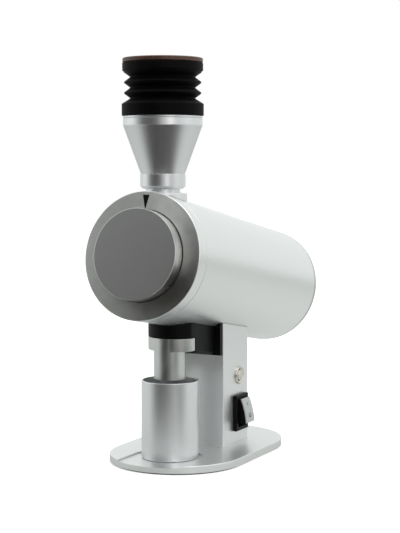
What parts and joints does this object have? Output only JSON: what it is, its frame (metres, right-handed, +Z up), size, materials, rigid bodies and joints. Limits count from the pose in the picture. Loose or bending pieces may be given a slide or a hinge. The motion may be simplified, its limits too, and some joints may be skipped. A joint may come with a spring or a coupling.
{
  "type": "burr coffee grinder",
  "caption": "Single-dose burr coffee grinder with a tilted drive tube, grind dial, funnel hopper with bellows, spout and dosing cup on a base plate.",
  "frame": {"origin": "underside of the base mat, on the shared upright axis of the dosing cup and the spout", "axes": "+Z up, -Y towards the front where the dial faces, +X to the machine's side that carries the start button and the rocker switch"},
  "size_m": [0.14, 0.325, 0.4076],
  "materials": {
    "bead_blasted_aluminium": "bead-blasted and clear anodised",
    "grey_anodised_aluminium": "bead-blasted and grey anodised",
    "brushed_aluminium": "extruded, with fine upright brushing",
    "machined_aluminium": "machined",
    "stainless_steel": "turned",
    "burr_steel": "ground",
    "black_moulded_plastic": "moulded, fine texture",
    "black_silicone": "moulded, matte",
    "black_rubber": "matte",
    "teal_gasket": "matte",
    "walnut": "turned and oiled",
    "silver_plastic": "moulded, satin",
    "copper_winding": "enamelled wire",
    "circuit_board": "coated laminate",
    "index_paint": "filled engraving"
  },
  "bodies": {
    "frame": {"base_plate": "bead_blasted_aluminium", "base_mat": "black_rubber", "column_screw_1": "stainless_steel", "column_screw_2": "stainless_steel", "column_screw_3": "stainless_steel", "column_screw_4": "stainless_steel", "column": "brushed_aluminium", "saddle_block": "machined_aluminium", "saddle_bolt_1": "stainless_steel", "saddle_bolt_2": "stainless_steel", "button_bezel": "stainless_steel", "rocker_frame": "black_moulded_plastic", "mains_inlet": "black_moulded_plastic", "control_board": "circuit_board", "front_ring": "grey_anodised_aluminium", "index_mark": "index_paint", "body_tube": "bead_blasted_aluminium", "rear_ring": "machined_aluminium", "rear_gasket": "teal_gasket", "rear_cover": "bead_blasted_aluminium", "rear_cover_screw_1": "stainless_steel", "rear_cover_screw_2": "stainless_steel", "rear_cover_screw_3": "stainless_steel", "preload_spring": "stainless_steel", "grind_chamber": "machined_aluminium", "shaft_seal": "black_rubber", "front_bearing": "stainless_steel", "motor_mount": "machined_aluminium", "motor_can": "black_moulded_plastic", "motor_end_cap": "machined_aluminium", "stator": "copper_winding", "rear_bearing": "stainless_steel", "chute_housing": "black_moulded_plastic", "spout": "bead_blasted_aluminium", "spout_screw_1": "stainless_steel", "spout_screw_2": "stainless_steel", "inlet_boss": "bead_blasted_aluminium"},
    "dial": {"dial": "grey_anodised_aluminium"},
    "burr_adjuster": {"burr_carrier": "machined_aluminium", "fixed_burr": "burr_steel", "fixed_burr_screw_1": "stainless_steel", "fixed_burr_screw_2": "stainless_steel", "fixed_burr_screw_3": "stainless_steel"},
    "rotor": {"burr_shaft": "stainless_steel", "rotor_carrier": "machined_aluminium", "rotating_burr": "burr_steel", "rotating_burr_screw_1": "stainless_steel", "rotating_burr_screw_2": "stainless_steel", "rotating_burr_screw_3": "stainless_steel", "auger": "machined_aluminium", "auger_bolt": "stainless_steel", "motor_rotor": "stainless_steel"},
    "start_button": {"start_button": "stainless_steel"},
    "rocker": {"rocker_paddle": "silver_plastic"},
    "cup": {"cup": "bead_blasted_aluminium"},
    "hopper": {"hopper_funnel": "bead_blasted_aluminium"},
    "bellows_head": {"bellows": "black_silicone", "bellows_head_ring": "black_moulded_plastic"},
    "lid": {"lid": "walnut", "lid_seal": "black_silicone"}
  },
  "joints": [
    {"name": "grind_dial", "type": "hinge", "parent": "frame", "child": "dial", "pos_m": [0, -0.0581, 0.21492], "axis": [0, -0.9848, 0.1736], "range_deg": [-90, 180]},
    {"name": "burr_adjust", "type": "slide", "parent": "frame", "child": "burr_adjuster", "axis": [0, -0.9848, 0.1736], "range_m": [-0.0004, 0.0008]},
    {"name": "burr_spin", "type": "hinge", "parent": "frame", "child": "rotor", "pos_m": [0, -0.0581, 0.21492], "axis": [0, 0.9848, -0.1736], "continuous": true},
    {"name": "start_press", "type": "slide", "parent": "frame", "child": "start_button", "axis": [-1, 0, 0], "range_m": [0, 0.0015], "stiffness_N_per_m": 900},
    {"name": "power_rocker", "type": "hinge", "parent": "frame", "child": "rocker", "pos_m": [0.0326, 0.0935, 0.0405], "axis": [0, 1, 0], "range_deg": [0, 28]},
    {"name": "cup_slide", "type": "slide", "parent": "frame", "child": "cup", "axis": [0, -1, 0], "range_m": [0, 0.06]},
    {"name": "hopper_lift", "type": "slide", "parent": "frame", "child": "hopper", "axis": [0, 0, 1], "range_m": [0, 0.03]},
    {"name": "bellows_pump", "type": "slide", "parent": "hopper", "child": "bellows_head", "axis": [0, 0, -1], "range_m": [0, 0.018], "stiffness_N_per_m": 1800, "deforming": ["bellows"]},
    {"name": "lid_lift", "type": "slide", "parent": "bellows_head", "child": "lid", "axis": [0, 0, 1], "range_m": [0, 0.012]}
  ],
  "couplings": [
    {"joint": "burr_adjust", "follows": "grind_dial", "m_per_rad": 0.00023873}
  ]
}
